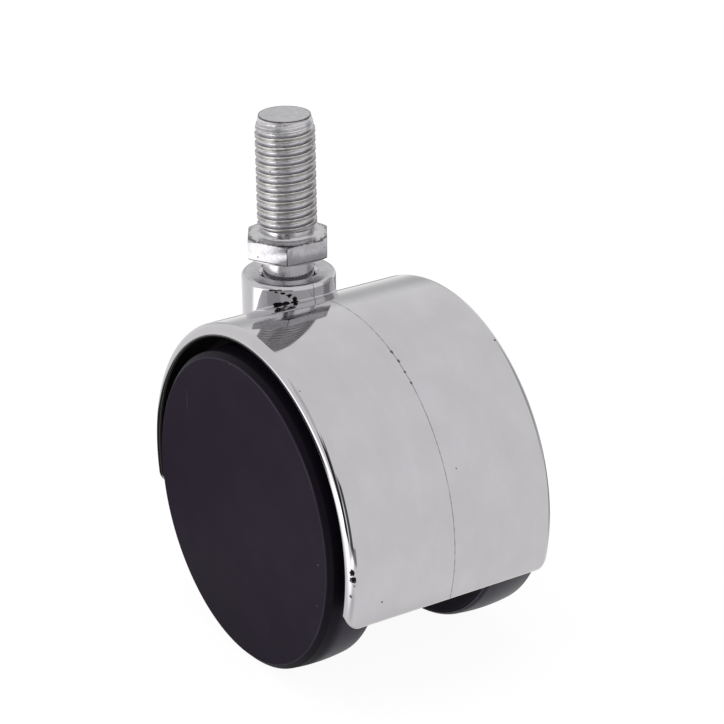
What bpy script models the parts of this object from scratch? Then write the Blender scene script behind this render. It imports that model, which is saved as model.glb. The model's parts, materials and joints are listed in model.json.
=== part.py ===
"""Twin-wheel hooded stem castor, modelled in metres with +Z up.

The origin is on the stem's axis, in the plane of the hexagon's top face,
where the underside of the furniture sits. The axle runs along Y and lies
ahead of the stem, towards +X.
"""

import math

import bmesh
import bpy
from mathutils import Matrix, Vector

# Wheels
WHEEL_RADIUS = 0.0254
WHEEL_WIDTH = 0.0097
WHEEL_FACE_EDGE_RADIUS = 0.0010
WHEEL_INNER_EDGE_RADIUS = 0.0012
TREAD_CROWN = 0.00025
RIM_WALL = 0.0034
RIM_DRAFT = 0.0003
FACE_PLATE = 0.0022
HUB_WALL = 0.00245
HUB_PROUD = 0.0006
HUB_CHAMFER = 0.0004
RIB_COUNT = 8
RIB_THICKNESS = 0.0014
RIB_DEPTH = 0.0048
RIB_ROOT = 0.0008
SNAP_BEAD_WIDTH = 0.0010
SNAP_BEAD_GRIP = 0.00015

# Axle
AXLE_RADIUS = 0.0030
AXLE_CHAMFER = 0.0005
AXLE_SLIDE = 0.0006
AXLE_GROOVE_DEPTH = 0.00045
AXLE_GROOVE_INSET = 0.0030

# Hood
HOOD_GAP = 0.0017
HOOD_WALL = 0.0022
HOOD_OUTER_EDGE = 0.0013
HOOD_INNER_EDGE = 0.0004
HOOD_CORNER_RADIUS = 0.0021
HOOD_FRONT_ANGLE = math.radians(-17.7)
HOOD_BACK_ANGLE = math.radians(193.0)
WHEEL_STANDOUT = 0.00195
WEB_THICKNESS = 0.0032
WEB_FRONT_ANGLE = math.radians(38.0)
WEB_BACK_ANGLE = math.radians(172.0)
AXLE_BOSS_WALL = 0.00265

# Stem socket, and the collar that it forms above the hood
SOCKET_WALL = 0.00328
SOCKET_TO_WHEEL = 0.00307
SOCKET_TO_HOOD_BACK = 0.00347
SOCKET_FLOOR = 0.0024
SOCKET_FOOT_EDGE = 0.0010
COLLAR_HEIGHT = 0.00584
COLLAR_EDGE = 0.0008
BORE_MOUTH_CHAMFER = 0.0007

# Stem
SHANK_RADIUS = 0.0040
SHANK_SHOWING = 0.00295
SHANK_LENGTH = 0.0251
SHANK_CHAMFER = 0.0009
HEX_ACROSS_FLATS = 0.0123
HEX_HEIGHT = 0.0034
HEX_CHAMFER = 0.00035
HEX_CORNER_ANGLE = math.radians(-32.6)
THREAD_RADIUS = 0.0047
THREAD_LENGTH = 0.0193
THREAD_END_DEPTH = 0.00064
THREAD_END_TAPER = 0.0023
THREAD_RELIEF_LENGTH = 0.0013
THREAD_RELIEF_DEPTH = 0.0004
THREAD_FOOT_RADIUS = 0.0005

# Snap ring that keeps the stem in its socket
RING_WIRE_RADIUS = 0.0006
RING_OPENING = math.radians(50.0)
RING_HEIGHT_ABOVE_TIP = 0.0042
RING_STANDOUT = 0.0005

# Clearances
RUNNING_CLEARANCE = 0.00015
SEAT_GAP = 0.0003
CUT_OVERRUN = 0.0010

# Facets
WHEEL_FACETS = 48
SMALL_FACETS = 32
HOOD_FACET_ANGLE = math.radians(5.0)
FILLET_FACETS = 4

# Bores, and the walls round them
AXLE_BORE_RADIUS = AXLE_RADIUS + RUNNING_CLEARANCE
AXLE_BOSS_RADIUS = AXLE_BORE_RADIUS + AXLE_BOSS_WALL
HUB_BORE_RADIUS = AXLE_RADIUS + RUNNING_CLEARANCE
HUB_RADIUS = HUB_BORE_RADIUS + HUB_WALL
STEM_BORE_RADIUS = SHANK_RADIUS + RUNNING_CLEARANCE
SOCKET_RADIUS = STEM_BORE_RADIUS + SOCKET_WALL

# Places across the castor, from its middle plane outwards
WHEEL_INNER_FACE = SOCKET_RADIUS + SOCKET_TO_WHEEL
WHEEL_OUTER_FACE = WHEEL_INNER_FACE + WHEEL_WIDTH
AXLE_BOSS_HALF_LENGTH = WHEEL_INNER_FACE - HUB_PROUD - AXLE_SLIDE - SEAT_GAP
HOOD_HALF_WIDTH = WHEEL_OUTER_FACE - WHEEL_STANDOUT
HUB_FLOOR_DEPTH = FACE_PLATE + SEAT_GAP
AXLE_HALF_LENGTH = WHEEL_OUTER_FACE - HUB_FLOOR_DEPTH - SEAT_GAP

# Hood radii, and the axle's place below the hexagon's top face
HOOD_INNER_RADIUS = WHEEL_RADIUS + HOOD_GAP
HOOD_OUTER_RADIUS = HOOD_INNER_RADIUS + HOOD_WALL
SWIVEL_OFFSET = HOOD_INNER_RADIUS - SOCKET_TO_HOOD_BACK - SOCKET_RADIUS
COLLAR_TOP = -HEX_HEIGHT - SHANK_SHOWING
HOOD_RISE_AT_STEM = math.sqrt(HOOD_OUTER_RADIUS**2 - SWIVEL_OFFSET**2)
AXLE_PLACE = Vector((SWIVEL_OFFSET, 0.0, COLLAR_TOP - COLLAR_HEIGHT - HOOD_RISE_AT_STEM))

# Heights in the socket
SHANK_TIP = -HEX_HEIGHT - SHANK_LENGTH
BORE_FLOOR = SHANK_TIP - SEAT_GAP
SOCKET_FOOT = BORE_FLOOR - SOCKET_FLOOR
RING_HEIGHT = SHANK_TIP + RING_HEIGHT_ABOVE_TIP
RING_CENTRE_RADIUS = SHANK_RADIUS + RING_STANDOUT - RING_WIRE_RADIUS
RING_GROOVE_RADIUS = RING_CENTRE_RADIUS - RING_WIRE_RADIUS - SEAT_GAP
RING_GROOVE_HALF = RING_WIRE_RADIUS + SEAT_GAP
RING_RECESS_RADIUS = RING_CENTRE_RADIUS + RING_WIRE_RADIUS + SEAT_GAP


def remove_start_objects():
    for item in list(bpy.data.objects):
        bpy.data.objects.remove(item, do_unlink=True)


def make_material(name, color, metallic, roughness):
    material = bpy.data.materials.new(name)
    material.use_nodes = True
    shader = material.node_tree.nodes["Principled BSDF"]
    shader.inputs["Base Color"].default_value = (*color, 1.0)
    shader.inputs["Metallic"].default_value = metallic
    shader.inputs["Roughness"].default_value = roughness
    return material


def add_object(name, bm, material=None, sharp_angle=math.radians(30.0)):
    """Turn a bmesh into an object with outward faces and smooth round sides."""
    bmesh.ops.recalc_face_normals(bm, faces=bm.faces)
    mesh = bpy.data.meshes.new(name)
    bm.to_mesh(mesh)
    bm.free()
    mesh.shade_smooth()
    mesh.set_sharp_from_angle(angle=sharp_angle)
    if material is not None:
        mesh.materials.append(material)
    item = bpy.data.objects.new(name, mesh)
    bpy.context.scene.collection.objects.link(item)
    return item


def add_helper(name, bm):
    """A solid that only shapes another piece and isn't a piece itself."""
    helper = add_object(name, bm)
    helper.hide_render = True
    helper.display_type = "WIRE"
    return helper


def combine(piece, helper, operation):
    modifier = piece.modifiers.new(helper.name, "BOOLEAN")
    modifier.operation = operation
    modifier.solver = "EXACT"
    modifier.object = helper


def arc_points(centre, radius, start, end, steps=FILLET_FACETS):
    """Points of an arc in the plane of a profile, both ends included."""
    points = []
    for step in range(steps + 1):
        angle = start + (end - start) * step / steps
        points.append((centre[0] + radius * math.cos(angle), centre[1] + radius * math.sin(angle)))
    return points


def turned_solid(profile, axis, facets):
    """Spin a closed outline of (radius, height) points round Z or Y."""
    bm = bmesh.new()
    if axis == "Z":
        places = [(radius, 0.0, height) for radius, height in profile]
        direction = (0.0, 0.0, 1.0)
    else:
        places = [(radius, height, 0.0) for radius, height in profile]
        direction = (0.0, 1.0, 0.0)
    verts = [bm.verts.new(place) for place in places]
    edges = [bm.edges.new(pair) for pair in zip(verts[:-1], verts[1:])]
    if profile[0][0] > 0.0:
        edges.append(bm.edges.new((verts[-1], verts[0])))
    bmesh.ops.spin(
        bm,
        geom=verts + edges,
        cent=(0.0, 0.0, 0.0),
        axis=direction,
        angle=math.tau,
        steps=facets,
        use_merge=True,
    )
    bmesh.ops.remove_doubles(bm, verts=bm.verts, dist=SEAT_GAP / 100)
    return bm


def extruded_outline(outline, thickness):
    """Extrude an outline of (x, z) points along Y, half to each side."""
    bm = bmesh.new()
    verts = [bm.verts.new((x, -thickness / 2, z)) for x, z in outline]
    face = bm.faces.new(verts)
    grown = bmesh.ops.extrude_face_region(bm, geom=[face])
    moved = [item for item in grown["geom"] if isinstance(item, bmesh.types.BMVert)]
    bmesh.ops.translate(bm, vec=(0.0, thickness, 0.0), verts=moved)
    return bm


def wheel_profile():
    """Half section of a wheel: radius, and distance in from its outer face."""
    face_edge = (WHEEL_RADIUS - TREAD_CROWN - WHEEL_FACE_EDGE_RADIUS, WHEEL_FACE_EDGE_RADIUS)
    inner_edge = (
        WHEEL_RADIUS - TREAD_CROWN - WHEEL_INNER_EDGE_RADIUS,
        WHEEL_WIDTH - WHEEL_INNER_EDGE_RADIUS,
    )
    rim_inside = WHEEL_RADIUS - RIM_WALL
    hub_end = WHEEL_WIDTH + HUB_PROUD
    groove_middle = WHEEL_OUTER_FACE - AXLE_HALF_LENGTH + AXLE_GROOVE_INSET
    bead_radius = AXLE_RADIUS - SNAP_BEAD_GRIP
    bead_half = SNAP_BEAD_WIDTH / 2
    bead_slope = HUB_BORE_RADIUS - bead_radius
    outline = [(0.0, 0.0)]
    outline += arc_points(face_edge, WHEEL_FACE_EDGE_RADIUS, -math.pi / 2, 0.0)
    outline.append((WHEEL_RADIUS, WHEEL_WIDTH / 2))
    outline += arc_points(inner_edge, WHEEL_INNER_EDGE_RADIUS, 0.0, math.pi / 2)
    outline += [
        (rim_inside, WHEEL_WIDTH),
        (rim_inside - RIM_DRAFT, FACE_PLATE),
        (HUB_RADIUS, FACE_PLATE),
        (HUB_RADIUS, hub_end - HUB_CHAMFER),
        (HUB_RADIUS - HUB_CHAMFER, hub_end),
        (HUB_BORE_RADIUS + HUB_CHAMFER, hub_end),
        (HUB_BORE_RADIUS, hub_end - HUB_CHAMFER),
        (HUB_BORE_RADIUS, groove_middle + bead_half + bead_slope),
        (bead_radius, groove_middle + bead_half),
        (bead_radius, groove_middle - bead_half),
        (HUB_BORE_RADIUS, groove_middle - bead_half - bead_slope),
        (HUB_BORE_RADIUS, HUB_FLOOR_DEPTH),
        (0.0, HUB_FLOOR_DEPTH),
    ]
    return outline


def wheel_ribs():
    """Radial ribs behind the face plate, from the hub to the rim."""
    inner = HUB_RADIUS - RIB_ROOT
    outer = WHEEL_RADIUS - RIM_WALL + RIB_ROOT
    low = FACE_PLATE - RIB_ROOT
    high = FACE_PLATE + RIB_DEPTH
    bm = bmesh.new()
    for number in range(RIB_COUNT):
        turn = Matrix.Rotation(math.tau * (number + 0.5) / RIB_COUNT, 4, "Y")
        size = Matrix.Diagonal((outer - inner, high - low, RIB_THICKNESS, 1.0))
        place = Matrix.Translation(((inner + outer) / 2, (low + high) / 2, 0.0))
        bmesh.ops.create_cube(bm, size=1.0, matrix=turn @ place @ size)
    return bm


def make_wheel(name, side, material):
    """One wheel. Its origin is on the axle; side is -1 for the near one."""
    outer_face = side * WHEEL_OUTER_FACE + AXLE_SLIDE
    into_rest = Matrix.Translation((0.0, outer_face, 0.0)) @ Matrix.Diagonal((1.0, -side, 1.0, 1.0))
    body = turned_solid(wheel_profile(), "Y", WHEEL_FACETS)
    bmesh.ops.transform(body, matrix=into_rest, verts=body.verts)
    wheel = add_object(name, body, material)
    wheel.location = AXLE_PLACE
    ribs = wheel_ribs()
    bmesh.ops.transform(ribs, matrix=into_rest, verts=ribs.verts)
    helper = add_helper(name + "_ribs", ribs)
    helper.location = AXLE_PLACE
    combine(wheel, helper, "UNION")
    return wheel


def make_axle(material):
    """Straight pin with a chamfer and a snap groove at each end."""
    groove_radius = AXLE_RADIUS - AXLE_GROOVE_DEPTH
    groove_half = SNAP_BEAD_WIDTH / 2 + SEAT_GAP
    groove_slope = AXLE_GROOVE_DEPTH
    end = AXLE_HALF_LENGTH
    groove = end - AXLE_GROOVE_INSET
    half = [
        (0.0, end),
        (AXLE_RADIUS - AXLE_CHAMFER, end),
        (AXLE_RADIUS, end - AXLE_CHAMFER),
        (AXLE_RADIUS, groove + groove_half + groove_slope),
        (groove_radius, groove + groove_half),
        (groove_radius, groove - groove_half),
        (AXLE_RADIUS, groove - groove_half - groove_slope),
    ]
    outline = half + [(radius, -height) for radius, height in reversed(half)]
    pin = turned_solid(outline, "Y", SMALL_FACETS)
    bmesh.ops.translate(pin, vec=(0.0, AXLE_SLIDE, 0.0), verts=pin.verts)
    axle = add_object("axle_pin", pin, material)
    axle.location = AXLE_PLACE
    return axle


def hood_section(half_width):
    """Closed section of the hood's wall: distance along Y, and radius."""
    outer = HOOD_OUTER_RADIUS - HOOD_OUTER_EDGE
    inner = HOOD_INNER_RADIUS + HOOD_INNER_EDGE
    broad = half_width - HOOD_OUTER_EDGE
    fine = half_width - HOOD_INNER_EDGE
    section = arc_points((broad, outer), HOOD_OUTER_EDGE, math.pi / 2, 0.0)
    section += arc_points((fine, inner), HOOD_INNER_EDGE, 0.0, -math.pi / 2, 2)
    section += arc_points((-fine, inner), HOOD_INNER_EDGE, -math.pi / 2, -math.pi, 2)
    section += arc_points((-broad, outer), HOOD_OUTER_EDGE, math.pi, math.pi / 2)
    return section


def hood_stations():
    """Angles round the axle with the hood's half width at each.

    The width draws in along a quarter circle at both ends, which rounds
    the four corners of the skirt.
    """
    corner_angle = HOOD_CORNER_RADIUS / HOOD_OUTER_RADIUS
    narrow = HOOD_HALF_WIDTH - HOOD_CORNER_RADIUS
    stations = []
    for turn, half_width in arc_points((corner_angle, narrow), HOOD_CORNER_RADIUS, math.pi, math.pi / 2):
        share = (corner_angle - turn) / HOOD_CORNER_RADIUS
        stations.append((corner_angle * (1.0 - share), half_width))
    span = HOOD_BACK_ANGLE - HOOD_FRONT_ANGLE
    middle = span - 2 * corner_angle
    count = round(middle / HOOD_FACET_ANGLE)
    start = [(HOOD_FRONT_ANGLE + turn, half_width) for turn, half_width in stations]
    between = [
        (HOOD_FRONT_ANGLE + corner_angle + middle * step / count, HOOD_HALF_WIDTH) for step in range(1, count)
    ]
    end = [(HOOD_BACK_ANGLE - turn, half_width) for turn, half_width in reversed(stations)]
    return start + between + end


def hood_shell():
    """Curved wall over the wheels, lofted through its stations."""
    bm = bmesh.new()
    rings = []
    for angle, half_width in hood_stations():
        ring = []
        for across, radius in hood_section(half_width):
            place = AXLE_PLACE + Vector((radius * math.cos(angle), across, radius * math.sin(angle)))
            ring.append(bm.verts.new(place))
        rings.append(ring)
    for ring, following in zip(rings[:-1], rings[1:]):
        for number in range(len(ring)):
            after = (number + 1) % len(ring)
            bm.faces.new((ring[number], ring[after], following[after], following[number]))
    bm.faces.new(rings[0])
    bm.faces.new(reversed(rings[-1]))
    return bm


def hood_web():
    """Upright plate in the middle, from the hood down to the axle boss."""
    reach = HOOD_INNER_RADIUS + HOOD_WALL / 2
    waist = AXLE_BOSS_RADIUS * math.sqrt(0.5)
    outline = arc_points((0.0, 0.0), reach, WEB_FRONT_ANGLE, WEB_BACK_ANGLE, 24)
    outline += arc_points((0.0, 0.0), waist, WEB_BACK_ANGLE + math.pi / 4, math.tau + WEB_FRONT_ANGLE, 4)
    outline = [(x + AXLE_PLACE.x, z + AXLE_PLACE.z) for x, z in outline]
    return extruded_outline(outline, WEB_THICKNESS)


def axle_boss():
    profile = [
        (0.0, -AXLE_BOSS_HALF_LENGTH),
        (AXLE_BOSS_RADIUS, -AXLE_BOSS_HALF_LENGTH),
        (AXLE_BOSS_RADIUS, AXLE_BOSS_HALF_LENGTH),
        (0.0, AXLE_BOSS_HALF_LENGTH),
    ]
    bm = turned_solid(profile, "Y", SMALL_FACETS)
    bmesh.ops.translate(bm, vec=AXLE_PLACE, verts=bm.verts)
    return bm


def stem_socket():
    """Round socket that holds the stem, with its collar above the hood."""
    foot_centre = (SOCKET_RADIUS - SOCKET_FOOT_EDGE, SOCKET_FOOT + SOCKET_FOOT_EDGE)
    collar_centre = (SOCKET_RADIUS - COLLAR_EDGE, COLLAR_TOP - COLLAR_EDGE)
    profile = [(0.0, SOCKET_FOOT)]
    profile += arc_points(foot_centre, SOCKET_FOOT_EDGE, -math.pi / 2, 0.0, 2)
    profile += arc_points(collar_centre, COLLAR_EDGE, 0.0, math.pi / 2)
    profile.append((0.0, COLLAR_TOP))
    return turned_solid(profile, "Z", SMALL_FACETS)


def axle_bore():
    reach = AXLE_BOSS_HALF_LENGTH + CUT_OVERRUN
    profile = [(0.0, -reach), (AXLE_BORE_RADIUS, -reach), (AXLE_BORE_RADIUS, reach), (0.0, reach)]
    bm = turned_solid(profile, "Y", SMALL_FACETS)
    bmesh.ops.translate(bm, vec=AXLE_PLACE, verts=bm.verts)
    return bm


def stem_bore():
    """Blind bore with a countersunk mouth and a recess for the snap ring."""
    recess_low = RING_HEIGHT - RING_GROOVE_HALF
    recess_high = RING_HEIGHT + RING_GROOVE_HALF
    recess_slope = RING_RECESS_RADIUS - STEM_BORE_RADIUS
    profile = [
        (0.0, BORE_FLOOR),
        (STEM_BORE_RADIUS, BORE_FLOOR),
        (STEM_BORE_RADIUS, recess_low - recess_slope),
        (RING_RECESS_RADIUS, recess_low),
        (RING_RECESS_RADIUS, recess_high),
        (STEM_BORE_RADIUS, recess_high + recess_slope),
        (STEM_BORE_RADIUS, COLLAR_TOP - BORE_MOUTH_CHAMFER),
        (STEM_BORE_RADIUS + BORE_MOUTH_CHAMFER + CUT_OVERRUN, COLLAR_TOP + CUT_OVERRUN),
        (0.0, COLLAR_TOP + CUT_OVERRUN),
    ]
    return turned_solid(profile, "Z", SMALL_FACETS)


def make_hood(material):
    """One casting: curved shell, middle web, axle boss and stem socket."""
    hood = add_object("hood_casting", hood_shell(), material)
    combine(hood, add_helper("hood_web", hood_web()), "UNION")
    combine(hood, add_helper("hood_axle_boss", axle_boss()), "UNION")
    combine(hood, add_helper("hood_stem_socket", stem_socket()), "UNION")
    combine(hood, add_helper("hood_axle_bore", axle_bore()), "DIFFERENCE")
    combine(hood, add_helper("hood_stem_bore", stem_bore()), "DIFFERENCE")
    return hood


def stem_profile():
    """Half section of the turned stem, from its tip in the socket upwards."""
    relief = THREAD_RADIUS - THREAD_RELIEF_DEPTH
    foot = relief + THREAD_FOOT_RADIUS
    low = RING_HEIGHT - RING_GROOVE_HALF
    high = RING_HEIGHT + RING_GROOVE_HALF
    return [
        (0.0, SHANK_TIP),
        (SHANK_RADIUS - SHANK_CHAMFER, SHANK_TIP),
        (SHANK_RADIUS, SHANK_TIP + SHANK_CHAMFER),
        (SHANK_RADIUS, low),
        (RING_GROOVE_RADIUS, low),
        (RING_GROOVE_RADIUS, high),
        (SHANK_RADIUS, high),
        (SHANK_RADIUS, -HEX_HEIGHT / 2),
        (foot, -HEX_HEIGHT / 2),
        *arc_points((foot, THREAD_FOOT_RADIUS), THREAD_FOOT_RADIUS, math.pi * 1.5, math.pi),
        (relief, THREAD_RELIEF_LENGTH),
        (THREAD_RADIUS, THREAD_RELIEF_LENGTH + THREAD_RELIEF_DEPTH),
        (THREAD_RADIUS, THREAD_LENGTH - THREAD_END_TAPER),
        (THREAD_RADIUS - THREAD_END_DEPTH, THREAD_LENGTH),
        (0.0, THREAD_LENGTH),
    ]


def hexagon_prism():
    corner = HEX_ACROSS_FLATS / 2 / math.cos(math.pi / 6)
    turn = Matrix.Rotation(HEX_CORNER_ANGLE - math.pi / 2, 4, "Z")
    bm = bmesh.new()
    bmesh.ops.create_cone(
        bm,
        cap_ends=True,
        segments=6,
        radius1=corner,
        radius2=corner,
        depth=HEX_HEIGHT,
        matrix=Matrix.Translation((0.0, 0.0, -HEX_HEIGHT / 2)) @ turn,
    )
    return bm


def hexagon_envelope():
    """Turned shape that trims the hexagon's corners at both faces."""
    corner = HEX_ACROSS_FLATS / 2 / math.cos(math.pi / 6)
    face_radius = HEX_ACROSS_FLATS / 2
    slope = HEX_CHAMFER / (corner - face_radius)
    reach = corner + CUT_OVERRUN
    fall = (reach - face_radius) * slope
    profile = [
        (0.0, -HEX_HEIGHT - CUT_OVERRUN),
        (face_radius - CUT_OVERRUN / slope, -HEX_HEIGHT - CUT_OVERRUN),
        (reach, -HEX_HEIGHT + fall),
        (reach, -fall),
        (face_radius - CUT_OVERRUN / slope, CUT_OVERRUN),
        (0.0, CUT_OVERRUN),
    ]
    return turned_solid(profile, "Z", WHEEL_FACETS)


def make_stem(material):
    """Threaded stem with its hexagon and the shank that turns in the hood."""
    stem = add_object("stem", turned_solid(stem_profile(), "Z", SMALL_FACETS), material)
    hexagon = add_helper("stem_hexagon", hexagon_prism())
    combine(hexagon, add_helper("stem_hexagon_envelope", hexagon_envelope()), "INTERSECT")
    combine(stem, hexagon, "UNION")
    return stem


def make_snap_ring(material):
    """Open ring of round wire, sprung into the groove of the shank."""
    sweep = math.tau - RING_OPENING
    steps = 28
    sides = 8
    bm = bmesh.new()
    rings = []
    for step in range(steps + 1):
        angle = RING_OPENING / 2 + sweep * step / steps
        out = Vector((math.cos(angle), math.sin(angle), 0.0))
        ring = []
        for side in range(sides):
            round_wire = math.tau * (side + 0.5) / sides
            radius = RING_CENTRE_RADIUS + RING_WIRE_RADIUS * math.cos(round_wire)
            height = RING_HEIGHT + RING_WIRE_RADIUS * math.sin(round_wire)
            ring.append(bm.verts.new(out * radius + Vector((0.0, 0.0, height))))
        rings.append(ring)
    for ring, following in zip(rings[:-1], rings[1:]):
        for number in range(sides):
            after = (number + 1) % sides
            bm.faces.new((ring[number], ring[after], following[after], following[number]))
    bm.faces.new(rings[0])
    bm.faces.new(reversed(rings[-1]))
    return add_object("stem_snap_ring", bm, material)


def main():
    remove_start_objects()
    chrome = make_material("chrome_plate", (0.62, 0.61, 0.63), 1.0, 0.08)
    zinc = make_material("zinc_plate", (0.58, 0.57, 0.53), 1.0, 0.32)
    steel = make_material("bright_steel", (0.50, 0.50, 0.52), 1.0, 0.30)
    spring_steel = make_material("spring_steel", (0.20, 0.20, 0.22), 1.0, 0.40)
    black_nylon = make_material("black_nylon", (0.030, 0.025, 0.033), 0.0, 0.55)
    make_stem(zinc)
    make_snap_ring(spring_steel)
    make_hood(chrome)
    make_axle(steel)
    make_wheel("wheel_near", -1, black_nylon)
    make_wheel("wheel_far", 1, black_nylon)


main()
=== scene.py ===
"""Finish for the twin-wheel hooded stem castor: detailed pieces, materials, studio.

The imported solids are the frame, in metres with +Z up and the origin on the
stem's axis in the plane of the hexagon's top face. Each piece made here
stands for one solid and rides on that solid's body.
"""

import json
import math
from functools import reduce

import bmesh
import bpy
from mathutils import Matrix, Vector


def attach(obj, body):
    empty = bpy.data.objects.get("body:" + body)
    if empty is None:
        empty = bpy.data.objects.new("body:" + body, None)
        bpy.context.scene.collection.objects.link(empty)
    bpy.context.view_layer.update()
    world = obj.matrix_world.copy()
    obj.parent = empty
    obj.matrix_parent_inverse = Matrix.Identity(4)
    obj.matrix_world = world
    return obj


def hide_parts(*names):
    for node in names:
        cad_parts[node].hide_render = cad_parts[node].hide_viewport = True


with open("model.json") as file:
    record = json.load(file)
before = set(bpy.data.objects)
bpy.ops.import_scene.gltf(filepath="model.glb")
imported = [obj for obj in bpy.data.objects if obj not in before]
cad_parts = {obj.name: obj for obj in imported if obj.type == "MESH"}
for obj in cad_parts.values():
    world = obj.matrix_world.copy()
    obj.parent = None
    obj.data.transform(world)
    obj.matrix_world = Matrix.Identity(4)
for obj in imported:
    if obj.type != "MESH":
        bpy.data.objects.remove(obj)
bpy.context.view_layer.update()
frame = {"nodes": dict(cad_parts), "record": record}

AXLE = Vector(frame["record"]["behaviour"]["joints"][1]["pos_m"])

# Wheels
WHEEL_RADIUS = 0.0254
WHEEL_WIDTH = 0.0097
WHEEL_OUTER_FACE = 0.0202
WHEEL_FACE_EDGE = 0.0010
WHEEL_INNER_EDGE = 0.0012
TREAD_CROWN = 0.00025
RIM_INSIDE = 0.0220
RIM_DRAFT = 0.0003
RIM_ROOT = 0.0007
FACE_PLATE = 0.0022
HUB_RADIUS = 0.0056
HUB_PROUD = 0.0006
HUB_CHAMFER = 0.0004
HUB_BORE = 0.00315
HUB_FLOOR = 0.0025
SNAP_BEAD_PLACE = 0.0058
SNAP_BEAD_RADIUS = 0.00285
SNAP_BEAD_HALF = 0.0005
AXLE_SLIDE = 0.0006
RIB_COUNT = 8
RIB_THICKNESS = 0.0014
RIB_DEPTH = 0.0048
RIB_DRAFT = 0.25
RIB_OVERLAP = 0.0008

# Hood casting
HOOD_OUTER = 0.0293
HOOD_INNER = 0.0271
HOOD_HALF_WIDTH = 0.01825
HOOD_FRONT_ANGLE = math.radians(-17.7)
HOOD_BACK_ANGLE = math.radians(193.0)
HOOD_CORNER_RADIUS = 0.0021
HOOD_RIM_EDGE = 0.0013
HOOD_SKIRT_EDGE = 0.0004
HOOD_INNER_EDGE = 0.0003
WEB_THICKNESS = 0.0032
WEB_FRONT_ANGLE = math.radians(38.0)
WEB_BACK_ANGLE = math.radians(172.0)
WEB_FOOT = 0.0012
WEB_EDGE = 0.0004
WEB_LOWER_ROWS = (0.018, 0.012, 0.007, 0.0048)
STEM_HOLE_REACH = 0.0046
CORE_RADIUS = 0.0058
CORE_FOOT = -0.0297
CORE_TOP = -0.005
BOSS_RADIUS = 0.0058
BOSS_HALF_LENGTH = 0.0090
BOSS_CHAMFER = 0.0003
AXLE_BORE = 0.00315
SOCKET_RADIUS = 0.00743
SOCKET_FOOT = -0.0312
SOCKET_FOOT_EDGE = 0.0010
COLLAR_TOP = -0.00635
COLLAR_EDGE = 0.0008
COLLAR_FILLET = 0.00022
BORE_RADIUS = 0.00415
BORE_FLOOR = -0.0288
BORE_MOUTH = 0.0007
RECESS_RADIUS = 0.0048
RECESS_HEIGHT = -0.0243
RECESS_HALF = 0.0009

# Stem
SHANK_RADIUS = 0.0040
SHANK_TIP = -0.0285
SHANK_CHAMFER = 0.0009
GROOVE_RADIUS = 0.0030
GROOVE_HALF = 0.0009
HEX_ACROSS_FLATS = 0.0123
HEX_HEIGHT = 0.0034
HEX_CHAMFER = 0.00035
HEX_CORNER_ANGLE = math.radians(-32.6)
HEX_EDGE = 0.00012
THREAD_RADIUS = 0.0047
THREAD_LENGTH = 0.0193
THREAD_PITCH = 0.00147
THREAD_DEPTH = 0.00062
THREAD_START_TURN = 0.70
THREAD_CREST_SHARE = 0.38
THREAD_ROOT_SHARE = 0.16
RELIEF_RADIUS = 0.0043
RELIEF_FOOT = 0.0005
RELIEF_LENGTH = 0.0013
THREAD_END_DEPTH = 0.00064
THREAD_END_TAPER = 0.0023

FINE_FACETS = 256
FLOOR_HEIGHT = AXLE.z - WHEEL_RADIUS
WHITE = (1.0, 1.0, 1.0)
VECTOR = "NodeSocketVector"
MATERIAL = "NodeSocketMaterial"

# Spots seen on the hood, as (place, reach, raggedness, softness)
HOOD_SPOTS = [
    ((0.02903, 0.00000, -0.01026), (0.00046, 0.00024, 0.00046), 0.7, 0.3),
    ((0.03076, 0.00010, -0.01118), (0.00040, 0.00024, 0.00040), 0.7, 0.3),
    ((0.03256, 0.00000, -0.01229), (0.00034, 0.00022, 0.00034), 0.7, 0.3),
    ((0.03420, 0.00000, -0.01348), (0.00030, 0.00020, 0.00030), 0.7, 0.3),
    ((0.03153, 0.01723, -0.01164), (0.00030, 0.00030, 0.00030), 0.6, 0.6),
    ((0.03112, -0.01760, -0.01139), (0.00024, 0.00030, 0.00024), 0.6, 0.6),
    ((0.04508, -0.01281, -0.04153), (0.00024, 0.00024, 0.00024), 0.6, 0.6),
    ((0.04478, -0.01800, -0.03920), (0.00028, 0.00030, 0.00036), 0.9, 0.4),
    ((0.04395, -0.01747, -0.04393), (0.00030, 0.00030, 0.00026), 0.9, 0.5),
    ((0.04380, -0.01677, -0.04446), (0.00036, 0.00040, 0.00022), 0.9, 0.5),
]
STEM_SPOTS = [
    ((-0.00387, 0.00061, 0.01930), (0.00022, 0.00022, 0.0002), 0.8, 0.3),
    ((0.00380, -0.00539, -0.00147), (0.00012, 0.00020, 0.00012), 0.8, 0.5),
]
WHEEL_PALE_SPOTS = [
    ((0.03841, -0.0196, -0.03625), (0.00018, 0.0003, 0.00022), 0.6, 0.5),
    ((0.03787, -0.0196, -0.04330), (0.00014, 0.0003, 0.00014), 0.6, 0.5),
    ((0.03976, -0.0196, -0.04430), (0.00012, 0.0003, 0.00016), 0.6, 0.5),
    ((0.01463, -0.0196, -0.01246), (0.00018, 0.0003, 0.00014), 0.6, 0.6),
    ((0.03404, -0.0196, -0.05523), (0.00018, 0.0003, 0.00018), 0.6, 0.6),
    ((0.00085, -0.0196, -0.02340), (0.00006, 0.0003, 0.00250), 0.3, 0.8),
]
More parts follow.
